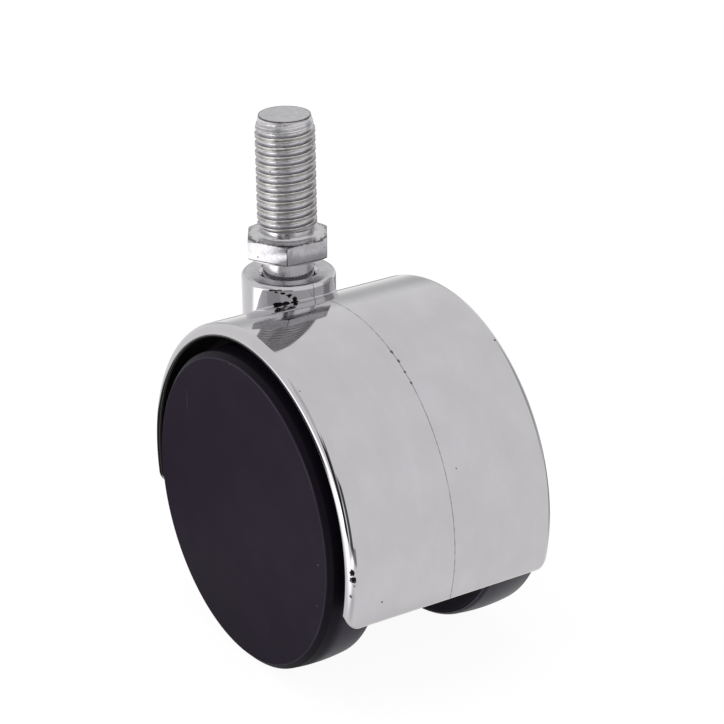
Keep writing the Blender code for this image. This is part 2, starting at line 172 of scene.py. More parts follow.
HOOD_CHIPS_AND_PAINTED_SHADE = [
    # Chips through the plate at the front of the rim
    ((0.04490, -0.01785, -0.03530), (0.00050, 0.00042, 0.00060), 1.1, 0.2),
    ((0.04495, -0.01770, -0.03640), (0.00060, 0.00050, 0.00060), 1.3, 0.2),
    ((0.04500, -0.01750, -0.03725), (0.00040, 0.00034, 0.00050), 1.3, 0.2),
    # Painted shade: dark patches on the front of the collar, and along its foot where it meets the hood
    ((0.00444, -0.00596, -0.00705), (0.00040, 0.00040, 0.00017), 1.6, 0.3),
    ((0.00510, -0.00540, -0.00722), (0.00042, 0.00042, 0.00016), 1.8, 0.3),
    ((0.00575, -0.00470, -0.00740), (0.00048, 0.00048, 0.00022), 1.8, 0.3),
    ((0.00635, -0.00385, -0.00775), (0.00040, 0.00052, 0.00034), 1.7, 0.3),
    ((0.00675, -0.00310, -0.00835), (0.00034, 0.00048, 0.00046), 1.5, 0.3),
    ((0.00660, -0.00340, -0.00905), (0.00030, 0.00044, 0.00034), 1.6, 0.3),
    ((0.00530, -0.00520, -0.00935), (0.00094, 0.00094, 0.00044), 0.6, 0.2),
    ((0.00620, -0.00410, -0.00915), (0.00080, 0.00100, 0.00036), 0.6, 0.2),
    ((0.00680, -0.00290, -0.00890), (0.00060, 0.00090, 0.00026), 0.8, 0.2),
    ((0.00710, -0.00210, -0.00905), (0.00050, 0.00080, 0.00026), 0.8, 0.2),
]


# Node trees

class Value:
    """An output of a node; arithmetic with it adds nodes to its tree."""

    def __init__(self, socket):
        self.socket = socket
        self.tree = socket.id_data

    def __add__(self, other):
        return calculate("ADD", self, other)

    def __sub__(self, other):
        return calculate("SUBTRACT", self, other)

    def __rsub__(self, other):
        return calculate("SUBTRACT", other, self)

    def __mul__(self, other):
        return calculate("MULTIPLY", self, other)

    def __truediv__(self, other):
        return calculate("DIVIDE", self, other)

    def __rtruediv__(self, other):
        return calculate("DIVIDE", other, self)

    def __abs__(self):
        return calculate("ABSOLUTE", self)


def set_inputs(made, inputs):
    """Set a node's inputs, each a constant or a value of the same tree."""
    for key, given in inputs.items():
        socket = made.inputs[key]
        if isinstance(given, Value):
            given.tree.links.new(given.socket, socket)
        elif socket.type == "RGBA":
            socket.default_value = (*given, 1.0)
        else:
            socket.default_value = given
    return made


def add_node(tree, kind, inputs=None, **settings):
    made = tree.nodes.new(kind)
    for key, setting in settings.items():
        setattr(made, key, setting)
    return set_inputs(made, inputs or {})


def value_of(tree, kind, inputs=None, output=0, **settings):
    """Add a node and return one of its outputs."""
    return Value(add_node(tree, kind, inputs, **settings).outputs[output])


def tree_of(values):
    return next(value.tree for value in values if isinstance(value, Value))


def calculate(operation, *values, clamp=False):
    inputs = dict(enumerate(values))
    return value_of(tree_of(values), "ShaderNodeMath", inputs, operation=operation, use_clamp=clamp)


def highest(*values):
    return reduce(lambda first, second: calculate("MAXIMUM", first, second), values)


def lowest(*values):
    return reduce(lambda first, second: calculate("MINIMUM", first, second), values)


def vector_math(operation, *values):
    """A vector, or the number that a length, distance or dot product gives."""
    output = 1 if operation in ("LENGTH", "DISTANCE", "DOT_PRODUCT") else 0
    inputs = dict(enumerate(values))
    return value_of(tree_of(values), "ShaderNodeVectorMath", inputs, output, operation=operation)


def parts(value, kind="ShaderNodeSeparateXYZ"):
    """The three parts of a vector or of a colour."""
    return [Value(socket) for socket in add_node(value.tree, kind, {0: value}).outputs]


def combined(x, y, z=0.0):
    return value_of(tree_of((x, y, z)), "ShaderNodeCombineXYZ", {0: x, 1: y, 2: z})


def remap(value, low, high, to_low=0.0, to_high=1.0, smooth=True):
    """Carry a value from one range to another and stop it at both ends."""
    inputs = {"Value": value, "From Min": low, "From Max": high, "To Min": to_low, "To Max": to_high}
    kind = "SMOOTHSTEP" if smooth else "LINEAR"
    return value_of(value.tree, "ShaderNodeMapRange", inputs, interpolation_type=kind, clamp=True)


def blend_values(share, first, second):
    return value_of(share.tree, "ShaderNodeMix", {0: share, 2: first, 3: second}, data_type="FLOAT")


def blend_colors(share, first, second):
    return value_of(share.tree, "ShaderNodeMix", {0: share, 6: first, 7: second}, 2, data_type="RGBA")


def layered(base, *layers):
    """Lay colours over a base, each through its own mask."""
    for mask, color in layers:
        base = blend_colors(mask, base, color)
    return base


def noise(vector, scale, detail):
    inputs = {"Vector": vector, "Scale": scale, "Detail": detail}
    return value_of(vector.tree, "ShaderNodeTexNoise", inputs)


def squeezed(vector, scale):
    return value_of(vector.tree, "ShaderNodeMapping", {"Vector": vector, "Scale": scale})


def from_axle(coordinates):
    """A point as seen from the middle of the axle, and its distance from the axle's line."""
    away = vector_math("SUBTRACT", coordinates, tuple(AXLE))
    return away, vector_math("LENGTH", vector_math("MULTIPLY", away, (1.0, 0.0, 1.0)))


# Node groups

def start_group(name, output, inputs, kind="ShaderNodeTree"):
    """Start a group with one output; returns its inputs as values.

    An input is given as its default, or as its kind of socket if it has none.
    """
    tree = bpy.data.node_groups.new(name, kind)
    kinds = {float: "NodeSocketFloat", int: "NodeSocketInt", tuple: VECTOR}
    for title, default in inputs.items():
        has_default = not isinstance(default, str)
        socket_kind = kinds[type(default)] if has_default else default
        socket = tree.interface.new_socket(name=title, in_out="INPUT", socket_type=socket_kind)
        if has_default:
            socket.default_value = default
    output_kind = "NodeSocketGeometry" if output == "Geometry" else "NodeSocketFloat"
    tree.interface.new_socket(name=output, in_out="OUTPUT", socket_type=output_kind)
    entry = tree.nodes.new("NodeGroupInput")
    return {title: Value(entry.outputs[title]) for title in inputs}


def end_group(value):
    """Link the group's output; returns the finished group."""
    set_inputs(value.tree.nodes.new("NodeGroupOutput"), {0: value})
    return value.tree


def place_group(group, *values):
    """Put a group in the tree of its first input; returns its output."""
    return value_of(values[0].tree, "ShaderNodeGroup", dict(enumerate(values)), node_tree=group)


def mottle_group():
    """Soft cloudy variation from 0 to 1, at a size in metres."""
    vector, size, detail, contrast = start_group(
        "mottle", "Value", {"Vector": VECTOR, "Size": 0.001, "Detail": 3.0, "Contrast": 1.0}
    ).values()
    centred = noise(vector, 1.0 / size, detail) - 0.5
    return end_group(calculate("MULTIPLY_ADD", centred, contrast, 0.5, clamp=True))


def specks_group():
    """Scattered ragged spots: a share of the cells of a random pattern each hold one."""
    vector, spacing, radius, share, raggedness = start_group(
        "specks", "Mask", {"Vector": VECTOR, "Spacing": 0.002, "Radius": 0.2, "Share": 0.5, "Raggedness": 0.3}
    ).values()
    scale = 1.0 / spacing
    cells = add_node(vector.tree, "ShaderNodeTexVoronoi", {"Vector": vector, "Scale": scale})
    pick, pick_size, _ = parts(Value(cells.outputs["Color"]), "ShaderNodeSeparateColor")
    ragged = (noise(vector, scale * 5.0, 2.0) - 0.5) * raggedness
    distance = Value(cells.outputs["Distance"]) + ragged
    inside = remap(distance / (radius * (pick_size + 0.35)), 1.25, 0.75)
    return end_group(inside * calculate("LESS_THAN", pick, share))


def chip_group():
    """One ragged chip or stain at a given place on a piece."""
    reach = (0.0003, 0.0003, 0.0003)
    vector, place, reach, raggedness, softness = start_group(
        "chip", "Mask", {"Vector": VECTOR, "Place": VECTOR, "Reach": reach, "Raggedness": 0.8, "Softness": 0.25}
    ).values()
    away = vector_math("DIVIDE", vector_math("SUBTRACT", vector, place), reach)
    ragged = (noise(vector, 3500.0, 2.0) - 0.5) * raggedness
    return end_group(remap(vector_math("LENGTH", away) + ragged, 1.0, 1.0 - softness))


def line_group():
    """A fine line where a measured distance passes zero, with broken edges."""
    vector, distance, width, softness, break_size, breaks = start_group(
        "worn_line",
        "Mask",
        {
            "Vector": VECTOR,
            "Distance": 0.0,
            "Width": 0.0001,
            "Softness": 0.00005,
            "Break Size": 0.001,
            "Breaks": 0.3,
        },
    ).values()
    lost = remap(noise(vector, 1.0 / break_size, 3.0), 0.35, 0.65) * breaks
    narrowed = width * 0.5 * (1.0 - lost)
    return end_group(remap((abs(distance) - narrowed) / softness, 1.0, 0.0))


MOTTLE = mottle_group()
SPECKS = specks_group()
CHIP = chip_group()
LINE = line_group()


def mottle(vector, size, detail, contrast):
    return place_group(MOTTLE, vector, size, detail, contrast)


def specks(vector, spacing, radius, share, raggedness):
    return place_group(SPECKS, vector, spacing, radius, share, raggedness)


def chips(vector, places):
    """Chips at a list of (place, reach, raggedness, softness)."""
    return highest(*(place_group(CHIP, vector, *place) for place in places))


def worn_line(vector, distance, width, softness, break_size, breaks):
    return place_group(LINE, vector, distance, width, softness, break_size, breaks)


# Materials

def start_material(name):
    """A new material and its piece's own coordinates."""
    material = bpy.data.materials.new(name)
    material.use_nodes = True
    return material, value_of(material.node_tree, "ShaderNodeTexCoord", output="Object")


def end_material(material, inputs, height, strength, depth):
    """Set the shader's inputs and lay a fine relief on the surface."""
    inputs["Normal"] = value_of(
        height.tree, "ShaderNodeBump", {"Strength": strength, "Distance": depth, "Height": height}
    )
    set_inputs(material.node_tree.nodes["Principled BSDF"], inputs)
    return material


def chrome_material():
    """Mirror plate over the hood casting, with its mould seam, pits and rim chips."""
    material, coordinates = start_material("mirror chrome plate")
    _, y, z = parts(coordinates)
    smudge = mottle(coordinates, 0.007, 4.0, 2.4)
    fine = mottle(coordinates, 0.0009, 3.0, 1.5)
    # Faint buffing marks that run round the hood
    buffed = mottle(squeezed(coordinates, (0.35, 1.0, 0.35)), 0.0016, 3.0, 2.2)
    seam = worn_line(coordinates, y, 0.00012, 0.00006, 0.0012, 0.85)
    pits = highest(
        specks(coordinates, 0.0046, 0.030, 0.35, 0.02), seam * 0.62, chips(coordinates, HOOD_SPOTS) * 0.95
    )
    chips_and_painted_shade = chips(coordinates, HOOD_CHIPS_AND_PAINTED_SHADE)
    pits_chips_and_painted_shade = highest(pits, chips_and_painted_shade)
    # Painted shade: the inside of the hood and the round of its inner edge are coloured near black, not
    # metallic
    away, radius = from_axle(coordinates)
    inside = remap(radius, HOOD_INNER + 0.00042, HOOD_INNER + 0.00030)
    # Painted highlight: a pale, non-metallic line along the front edge of the skirt stands in for its glint
    away_x, _, away_z = parts(away)
    from_edge = (calculate("ARCTAN2", away_z, away_x) - HOOD_FRONT_ANGLE) * HOOD_OUTER
    edge = remap(abs(from_edge), 0.00052, 0.00036) * 0.85
    # The collar's top was ground flat: duller and mottled
    top = remap(z, COLLAR_TOP - 0.00025, COLLAR_TOP - 0.00010)
    base = layered(
        blend_colors(smudge, (0.545, 0.533, 0.556), (0.502, 0.491, 0.508)),
        (buffed * 0.16, (0.44, 0.43, 0.44)),
        (fine * 0.10, (0.44, 0.43, 0.45)),
        (top * mottle(coordinates, 0.0016, 4.0, 2.5), (0.40, 0.395, 0.41)),
        (pits, (0.09, 0.085, 0.085)),
        # Chips through the plate, and painted shade on the collar's front and foot
        (chips_and_painted_shade, (0.012, 0.011, 0.012)),
        # Painted highlight on the skirt's front edge
        (edge, (0.95, 0.92, 0.86)),
        # Painted shade inside the hood
        (inside, (0.006, 0.0055, 0.006)),
    )
    rough = blend_values(pits_chips_and_painted_shade, blend_values(smudge, 0.045, 0.075), 0.5)
    rough = blend_values(top * blend_values(fine, 0.4, 1.0), rough, 0.32)
    surface = {
        "Base Color": base,
        "Metallic": 1.0 - highest(inside, edge),
        "Specular IOR Level": 0.05,
        "Roughness": blend_values(inside, rough, 0.38),
    }
    height = fine * 0.15 + mottle(coordinates, 0.0020, 2.0, 1.0) - pits_chips_and_painted_shade * 5.0
    return end_material(material, surface, height, 0.25, 0.00001)


def zinc_material():
    """Dull zinc plate on the stem: granular, with painted light that makes the thread's roots paler."""
    material, coordinates = start_material("dull zinc plate")
    x, y, z = parts(coordinates)
    radius = vector_math("LENGTH", combined(x, y))
    grain = mottle(coordinates, 0.00028, 3.0, 2.0)
    spots = specks(coordinates, 0.0012, 0.10, 0.28, 0.12)
    threaded = remap(z, RELIEF_LENGTH - 0.0002, RELIEF_LENGTH + 0.0002)
    on_thread = threaded * remap(z, THREAD_LENGTH - 0.0001, THREAD_LENGTH - 0.0003)
    crest = remap(radius, THREAD_RADIUS - 0.00022, THREAD_RADIUS - 0.00008) * on_thread
    # Painted light: the thread's roots are coloured paler, against the shade that falls in them
    painted_root_light = remap(radius, THREAD_RADIUS - 0.00020, THREAD_RADIUS - THREAD_DEPTH) * on_thread
    # Painted highlight: pale lines along both edges of the crest, where the burrs catch the light; the helix is
    # the same as the mesh's
    turns = z / THREAD_PITCH - calculate("ARCTAN2", y, x) / math.tau + THREAD_START_TURN
    from_root = abs(calculate("FRACT", turns) - 0.5) * THREAD_PITCH
    crest_edge = (1.0 - THREAD_CREST_SHARE + 0.03) * THREAD_PITCH / 2
    burr = worn_line(coordinates, from_root - crest_edge, 0.00008, 0.00006, 0.0007, 0.9) * on_thread
    # The plate lies smoother and brighter on the seat, the neck and the shank
    below_thread = remap(z, -0.0002, 0.0) * (1.0 - threaded)
    on_shank = remap(z, -HEX_HEIGHT + 0.0001, -HEX_HEIGHT - 0.0002)
    # Dark outline round the end face, and along the edges and nearest corner of the hexagon
    from_rim = radius - (THREAD_RADIUS - THREAD_END_DEPTH - 0.00003)
    end_ring = worn_line(coordinates, from_rim, 0.00022, 0.00010, 0.0006, 0.8)
    end_ring = end_ring * remap(z, THREAD_LENGTH - 0.00028, THREAD_LENGTH - 0.00012)
    upper_edge = worn_line(coordinates, z + 0.00008, 0.00014, 0.00008, 0.0005, 1.0)
    lower_edge = worn_line(coordinates, z + (HEX_HEIGHT - 0.00034), 0.00012, 0.00006, 0.0011, 0.9)
    sideways = (math.sin(HEX_CORNER_ANGLE), -math.cos(HEX_CORNER_ANGLE), 0.0)
    off_corner = vector_math("DOT_PRODUCT", coordinates, sideways)
    corner_line = worn_line(coordinates, off_corner, 0.00016, 0.00008, 0.0010, 0.8)
    corner_line = corner_line * remap(x, 0.0052, 0.0054) * remap(z, 0.0, -0.0003)
    on_flats = remap(radius, THREAD_RADIUS + 0.0010, THREAD_RADIUS + 0.0012)
    on_hexagon = highest(upper_edge, lower_edge, corner_line) * on_flats
    lines = highest(end_ring, on_hexagon, chips(coordinates, STEM_SPOTS))
    base = layered(
        blend_colors(mottle(coordinates, 0.0011, 5.0, 2.2), (0.50, 0.488, 0.51), (0.38, 0.37, 0.388)),
        (crest * 0.75, (0.30, 0.290, 0.262)),
        (grain * blend_values(on_thread, 0.20, 0.50), (0.20, 0.195, 0.195)),
        (on_shank * 0.55 + below_thread * 0.22, (0.82, 0.81, 0.835)),
        # Painted light in the thread's roots
        (painted_root_light * 0.75, (0.66, 0.65, 0.68)),
        # Painted highlight along the crests' edges
        (burr * 0.7, (0.85, 0.84, 0.85)),
        (spots * 0.8, (0.04, 0.035, 0.04)),
        (lines * 0.85, (0.045, 0.040, 0.038)),
    )
    rough = on_thread * 0.09 + blend_values(grain, 0.17, 0.27)
    surface = {"Base Color": base, "Metallic": 1.0, "Roughness": blend_values(spots, rough, 0.7)}
    return end_material(material, surface, grain - spots * 0.6, 0.35, 0.000012)


def nylon_material():
    """Matt moulded plastic of the wheels, with a fine grain and a few pale specks."""
    material, coordinates = start_material("matt black nylon")
    _, across, _ = parts(coordinates)
    _, radius = from_axle(coordinates)
    from_middle = abs(across)
    edge_radius = WHEEL_RADIUS - TREAD_CROWN
    inner_corner = WHEEL_OUTER_FACE - WHEEL_WIDTH + 0.0009
    grain = mottle(coordinates, 0.00022, 3.0, 1.6)
    # Painted highlight: a fine bright line where the face meets the slanting shoulder
    from_edge = radius - (edge_radius - WHEEL_FACE_EDGE * 0.88)
    edge = worn_line(coordinates, from_edge, 0.00014, 0.00010, 0.009, 0.8)
    # Painted shade: the near wheel's shoulder is coloured near black all round, for the shade in the gap under
    # the hood
    outside = remap(from_middle, WHEEL_OUTER_FACE - 0.0050, WHEEL_OUTER_FACE - 0.0024)
    outside = outside * calculate("LESS_THAN", across, 0.0)
    shoulder = remap(radius, edge_radius - 0.00075, edge_radius - 0.00062) * outside
    # The tread is smoother than the face; the pale line on its inner edge is a painted highlight
    tread = remap(radius, edge_radius - 0.0006, edge_radius - 0.0004) * (1.0 - outside)
    inner_edge_highlight = worn_line(coordinates, from_middle - inner_corner, 0.00012, 0.00007, 0.004, 0.7) * tread
    base = layered(
        blend_colors(mottle(coordinates, 0.006, 4.0, 1.5), (0.0230, 0.0172, 0.0282), (0.0186, 0.0139, 0.0226)),
        # Painted shade on the near wheel's shoulder
        (shoulder, (0.0042, 0.0030, 0.0054)),
        (tread, (0.0160, 0.0114, 0.0250)),
        # Painted light: the inner side of the rim is coloured paler, against the shade under the hood
        (remap(from_middle, inner_corner, inner_corner - 0.0003), (0.038, 0.031, 0.043)),
        # Painted highlight on the tread's inner edge
        (inner_edge_highlight * 0.7, (0.14, 0.13, 0.16)),
        # Painted highlight at the edge of the face
        (edge * 0.8, (0.055, 0.048, 0.062)),
        (specks(coordinates, 0.0045, 0.028, 0.30, 0.03) * 0.6, (0.16, 0.14, 0.14)),
        (chips(coordinates, WHEEL_PALE_SPOTS) * 0.6, (0.20, 0.16, 0.14)),
    )
    surface = {
        "Base Color": base,
        "Roughness": blend_values(tread, blend_values(grain, 0.50, 0.62), 0.28),
        "Specular IOR Level": blend_values(shoulder, blend_values(tread, 0.03, 0.20), 0.10),
        "Specular Tint": (0.80, 0.74, 1.0),
    }
    return end_material(material, surface, grain, 0.35, 0.00003)


def bright_steel_material():
    """Drawn steel of the axle pin, with fine lines along it."""
    material, coordinates = start_material("bright drawn steel")
    lines = mottle(squeezed(coordinates, (1.0, 0.05, 1.0)), 0.00025, 3.0, 1.8)
    cloud = mottle(coordinates, 0.003, 3.0, 1.5)
    base = blend_colors(cloud, (0.56, 0.56, 0.57), (0.46, 0.45, 0.46))
    surface = {"Base Color": base, "Metallic": 1.0, "Roughness": blend_values(lines, 0.20, 0.36)}
    return end_material(material, surface, lines, 0.3, 0.00002)


def spring_steel_material():
    """Dark oiled wire of the snap ring."""
    material, coordinates = start_material("oiled spring steel")
    cloud = mottle(coordinates, 0.0012, 4.0, 1.8)
    rust = specks(coordinates, 0.0012, 0.15, 0.3, 0.15)
    base = layered(blend_colors(cloud, (0.24, 0.24, 0.26), (0.14, 0.14, 0.15)), (rust, (0.10, 0.06, 0.04)))
    surface = {"Base Color": base, "Metallic": 1.0, "Roughness": blend_values(cloud, 0.30, 0.45)}
    return end_material(material, surface, cloud, 0.3, 0.00002)


# Shapes

def arc(centre, radius, start, end, steps=6):
    """Points of an arc in the plane of a profile, both ends included."""
    points = []
    for step in range(steps + 1):
        angle = start + (end - start) * step / steps
        points.append((centre[0] + radius * math.cos(angle), centre[1] + radius * math.sin(angle)))
    return points


def outward(bm):
    """Turn the faces of a closed body outwards."""
    bmesh.ops.recalc_face_normals(bm, faces=bm.faces)
    return bm


def welded(bm):
    """Merge points that coincide and turn the faces outwards."""
    bmesh.ops.remove_doubles(bm, verts=bm.verts, dist=1e-7)
    return outward(bm)


def opened(mesh):
    """Editable body of a plain mesh."""
    bm = bmesh.new()
    bm.from_mesh(mesh)
    return bm


def plain_mesh(name, bm):
    mesh = bpy.data.meshes.new(name)
    bm.to_mesh(mesh)
    bm.free()
    return mesh


def add_object(name, data):
    made = bpy.data.objects.new(name, data)
    bpy.context.scene.collection.objects.link(made)
    return made


def turned(profile, axis, facets=FINE_FACETS):
    """Spin an outline of (radius, height) points round Z or Y into a closed body."""
    bm = bmesh.new()
    if axis == "Z":
        places = [(radius, 0.0, height) for radius, height in profile]
        direction = (0.0, 0.0, 1.0)
    else:
        places = [(radius, height, 0.0) for radius, height in profile]
        direction = (0.0, 1.0, 0.0)
    verts = [bm.verts.new(place) for place in places]
    edges = [bm.edges.new(pair) for pair in zip(verts[:-1], verts[1:])]
    if profile[0][0] > 0.0:
        edges.append(bm.edges.new((verts[-1], verts[0])))
    centre = (0.0, 0.0, 0.0)
    bmesh.ops.spin(
        bm, geom=verts + edges, cent=centre, axis=direction, angle=math.tau, steps=facets, use_merge=True
    )
    return welded(bm)


def bridge(bm, loops):
    """Faces between closed loops of points, each loop joined to the next."""
    count = len(loops[0])
    for loop, following in zip(loops[:-1], loops[1:]):
        for number in range(count):
            after = (number + 1) % count
            bm.faces.new((loop[number], loop[after], following[after], following[number]))


def skinned(rows):
    """A body whose skin runs through closed rows of points."""
    bm = bmesh.new()
    bridge(bm, [[bm.verts.new(place) for place in row] for row in rows])
    return welded(bm)


def add_piece(name, bodies, material, sharp_angle=math.radians(32.0)):
    """Join closed bodies into one object, smooth but for its sharp edges."""
    whole = bmesh.new()
    for body in bodies:
        mesh = plain_mesh("body", body) if isinstance(body, bmesh.types.BMesh) else body
        whole.from_mesh(mesh)
        bpy.data.meshes.remove(mesh)
    mesh = plain_mesh(name, whole)
    mesh.shade_smooth()
    mesh.set_sharp_from_angle(angle=sharp_angle)
    mesh.materials.clear()
    mesh.materials.append(material)
    for face in mesh.polygons:
        face.material_index = 0
    return add_object(name, mesh)


def evaluated_mesh(piece):
    """Plain mesh of an object with its modifiers applied; the object goes."""
    bpy.context.view_layer.update()
    graph = bpy.context.evaluated_depsgraph_get()
    mesh = bpy.data.meshes.new_from_object(piece.evaluated_get(graph))
    bpy.data.objects.remove(piece, do_unlink=True)
    return mesh


def cut(body, cutter, operation="DIFFERENCE"):
    """Exact boolean of two closed bodies, as a plain mesh."""
    whole = add_piece("whole", [body], SCRATCH)
    tool = add_piece("tool", [cutter], SCRATCH)
    modifier = whole.modifiers.new("cut", "BOOLEAN")
    modifier.operation = operation
    modifier.solver = "EXACT"
    modifier.object = tool
    mesh = evaluated_mesh(whole)
    bpy.data.objects.remove(tool, do_unlink=True)
    return mesh


def weigh_normals(piece):
    """Let the broad faces set the shading beside each narrow round edge."""
    modifier = piece.modifiers.new("broad faces first", "WEIGHTED_NORMAL")
    modifier.keep_sharp = True
    name = piece.name
    mesh = evaluated_mesh(piece)
    mesh.name = name
    return add_object(name, mesh)


# Geometry node trees

def run_tree(tree, settings):
    """Run a generating tree once with its named inputs and return the mesh."""
    holder = add_object(tree.name, bpy.data.meshes.new(tree.name))
    modifier = holder.modifiers.new(tree.name, "NODES")
    modifier.node_group = tree
    sockets = {item.name: item for item in tree.interface.items_tree if item.in_out == "INPUT"}
    for title, value in settings.items():
        modifier[sockets[title].identifier] = value
    return evaluated_mesh(holder)


def end_mesh_group(geometry, material):
    """Turn instances into plain mesh, set its material and end the group."""
    plain = value_of(geometry.tree, "GeometryNodeRealizeInstances", {"Geometry": geometry})
    inputs = {"Geometry": plain, "Material": material}
    return end_group(value_of(plain.tree, "GeometryNodeSetMaterial", inputs))


def thread_tree():
    """Turned, closed body whose side carries a right-hand thread."""
    given = start_group(
        "rolled_thread",
        "Geometry",
        {
            "Facets": 160,
            "Rows": 420,
            "Crest Radius": 0.0047,
            "Root Depth": 0.0006,
            "Pitch": 0.0015,
            "Crest Share": 0.46,
            "Root Share": 0.24,
            "Start Turn": 0.0,
            "Foot": -0.0017,
            "Length": 0.0193,
            "End Depth": 0.00064,
            "End Taper": 0.0023,
            "Burr": 0.00003,
            "Relief Radius": 0.0043,
            "Relief Length": 0.0013,
            "Relief Foot": 0.0005,
            "Dents": 0.00005,
            "Material": MATERIAL,
        },
        "GeometryNodeTree",
    )
    tree = given["Facets"].tree
    crest_radius, relief_radius = given["Crest Radius"], given["Relief Radius"]
    size = {"Size X": 1.0, "Size Y": 1.0, "Vertices X": given["Facets"] + 1.0, "Vertices Y": given["Rows"]}
    grid = value_of(tree, "GeometryNodeMeshGrid", size)
    across, along, _ = parts(value_of(tree, "GeometryNodeInputPosition"))
    turn = across + 0.5
    climb = along + 0.5
    # The first and last rows close the ends; no radius comes near to wide
    side_start, side_end, wide = 0.03, 0.93, 0.01
    height = remap(climb, side_start, side_end, given["Foot"], given["Length"], smooth=False)
    opening = remap(climb, 0.0, side_start, 0.0, wide, smooth=False)
    end_radius = crest_radius - given["End Depth"]
    closing = remap(climb, side_end, 1.0, end_radius, 0.0, smooth=False)
    closing = blend_values(calculate("GREATER_THAN", climb, side_end), wide, closing)
    # Thread: the share of a turn that has passed at this height
    turns = height / given["Pitch"] - turn + given["Start Turn"]
    from_root = abs(calculate("FRACT", turns) - 0.5) * 2.0
    crest_start = 1.0 - given["Crest Share"]
    rise = remap(from_root, given["Root Share"], crest_start)
    threaded = crest_radius - (1.0 - rise) * given["Root Depth"]
    # A burr rolled up along both edges of the crest
    past_edge = from_root - (crest_start + 0.03)
    burr = remap(abs(past_edge), 0.09, 0.0, 0.0, given["Burr"])
    sink = remap(past_edge, 0.0, 0.15, 0.0, given["Burr"])
    threaded = lowest(threaded + burr - sink, crest_radius)
    # Dents left by handling, on the crests most of all
    around = turn * math.tau
    out_x, out_y = calculate("COSINE", around), calculate("SINE", around)
    skin = combined(out_x * THREAD_RADIUS, out_y * THREAD_RADIUS, height)
    threaded = threaded - remap(noise(skin, 1100.0, 3.0), 0.52, 0.80, 0.0, given["Dents"])
    # Relief beside the hexagon, with a round foot, and the taper at the tip
    foot = given["Relief Foot"]
    relief = highest(relief_radius + (height - given["Relief Length"]), relief_radius)
    into_foot = highest(foot - highest(height, 0.0), 0.0)
    relief = relief + (foot - calculate("SQRT", foot * foot - into_foot * into_foot))
    in_relief = calculate("LESS_THAN", height, given["Relief Length"])
    body = blend_values(in_relief, lowest(threaded, relief), relief)
    tip = end_radius + (given["Length"] - height) * (given["End Depth"] / given["End Taper"])
    radius = lowest(body, tip, opening, closing)
    place = combined(out_x * radius, out_y * radius, height)
    moved = value_of(tree, "GeometryNodeSetPosition", {"Geometry": grid, "Position": place})
    joined = value_of(tree, "GeometryNodeMergeByDistance", {"Geometry": moved, "Distance": 1e-7})
    return end_mesh_group(joined, given["Material"])


def ribs_tree():
    """Drafted ribs set evenly round the Y axis between a hub and a rim."""
    given = start_group(
        "wheel_ribs",
        "Geometry",
        {
            "Rib Count": 8,
            "Inner Radius": 0.0048,
            "Outer Radius": 0.0228,
            "Root": 0.0014,
            "Top": 0.0070,
            "Thickness": 0.0014,
            "Draft": 0.25,
            "Material": MATERIAL,
        },
        "GeometryNodeTree",
    )
    tree = given["Top"].tree
    length = given["Outer Radius"] - given["Inner Radius"]
    depth = given["Top"] - given["Root"]
    size = combined(length, depth, given["Thickness"])
    cuts = {"Vertices X": 2, "Vertices Y": 8, "Vertices Z": 5}
    rib = value_of(tree, "GeometryNodeMeshCube", {"Size": size, **cuts})
    along, down, across = parts(value_of(tree, "GeometryNodeInputPosition"))
    share = down / depth + 0.5
    slim = 1.0 - share * given["Draft"]
    # The top is rounded over the last of the depth
    over = remap(share, 0.86, 1.0, smooth=False)
    rounding = calculate("SQRT", 1.0 - over * over * 0.8)
    shaped = combined(
        along + (length * 0.5 + given["Inner Radius"]),
        down + (depth * 0.5 + given["Root"]),
        across * (slim * rounding),
    )
    moved = value_of(tree, "GeometryNodeSetPosition", {"Geometry": rib, "Position": shaped})
    points = value_of(tree, "GeometryNodePoints", {"Count": given["Rib Count"]})
    order = value_of(tree, "GeometryNodeInputIndex") + 0.5
    turn = combined(0.0, order / given["Rib Count"] * math.tau)
    inputs = {"Points": points, "Instance": moved, "Rotation": turn}
    return end_mesh_group(value_of(tree, "GeometryNodeInstanceOnPoints", inputs), given["Material"])


# Wheels

